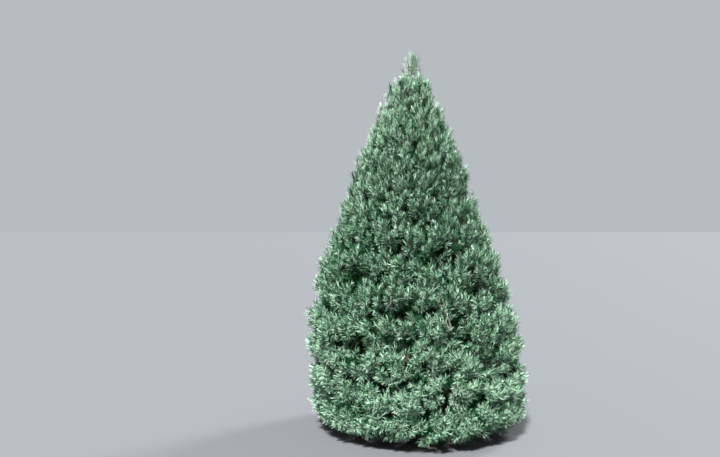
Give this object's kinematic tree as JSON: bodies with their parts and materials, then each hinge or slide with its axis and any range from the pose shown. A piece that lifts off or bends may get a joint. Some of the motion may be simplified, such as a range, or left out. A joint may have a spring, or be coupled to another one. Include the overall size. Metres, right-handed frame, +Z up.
{
  "type": "pine tree",
  "caption": "Cone-shaped, sheared pine tree with blue-green needles down to the ground, on one straight trunk with whorls of boughs.",
  "frame": {"origin": "centre of the flat cut under the trunk, at ground level", "axes": "+Z up along the trunk; +X to the right and +Y away from someone facing the front of the tree"},
  "size_m": [1.6472, 1.6396, 2.85],
  "materials": {
    "bark": "rough, flaking brown bark",
    "needles": "satin blue-green needles"
  },
  "bodies": {
    "root": {"bough_1_1": "bark", "bough_1_2": "bark", "bough_1_3": "bark", "bough_1_4": "bark", "bough_1_5": "bark", "bough_1_6": "bark", "bough_2_1": "bark", "bough_2_2": "bark", "bough_2_3": "bark", "bough_2_4": "bark", "bough_2_5": "bark", "bough_2_6": "bark", "bough_3_1": "bark", "bough_3_2": "bark", "bough_3_3": "bark", "bough_3_4": "bark", "bough_3_5": "bark", "bough_4_1": "bark", "bough_4_2": "bark", "bough_4_3": "bark", "bough_4_4": "bark", "bough_4_5": "bark", "foliage_1_1": "needles", "foliage_1_2": "needles", "foliage_1_3": "needles", "foliage_1_4": "needles", "foliage_1_5": "needles", "foliage_1_6": "needles", "foliage_2_1": "needles", "foliage_2_2": "needles", "foliage_2_3": "needles", "foliage_2_4": "needles", "foliage_2_5": "needles", "foliage_2_6": "needles", "foliage_3_1": "needles", "foliage_3_2": "needles", "foliage_3_3": "needles", "foliage_3_4": "needles", "foliage_3_5": "needles", "foliage_4_1": "needles", "foliage_4_2": "needles", "foliage_4_3": "needles", "foliage_4_4": "needles", "foliage_4_5": "needles", "foliage_5_1": "needles", "foliage_5_2": "needles", "foliage_5_3": "needles", "foliage_5_4": "needles", "foliage_5_5": "needles", "foliage_6_1": "needles", "foliage_6_2": "needles", "foliage_6_3": "needles", "foliage_6_4": "needles", "foliage_7_1": "needles", "foliage_7_2": "needles", "foliage_7_3": "needles", "foliage_leader": "needles", "trunk": "bark"}
  },
  "joints": []
}
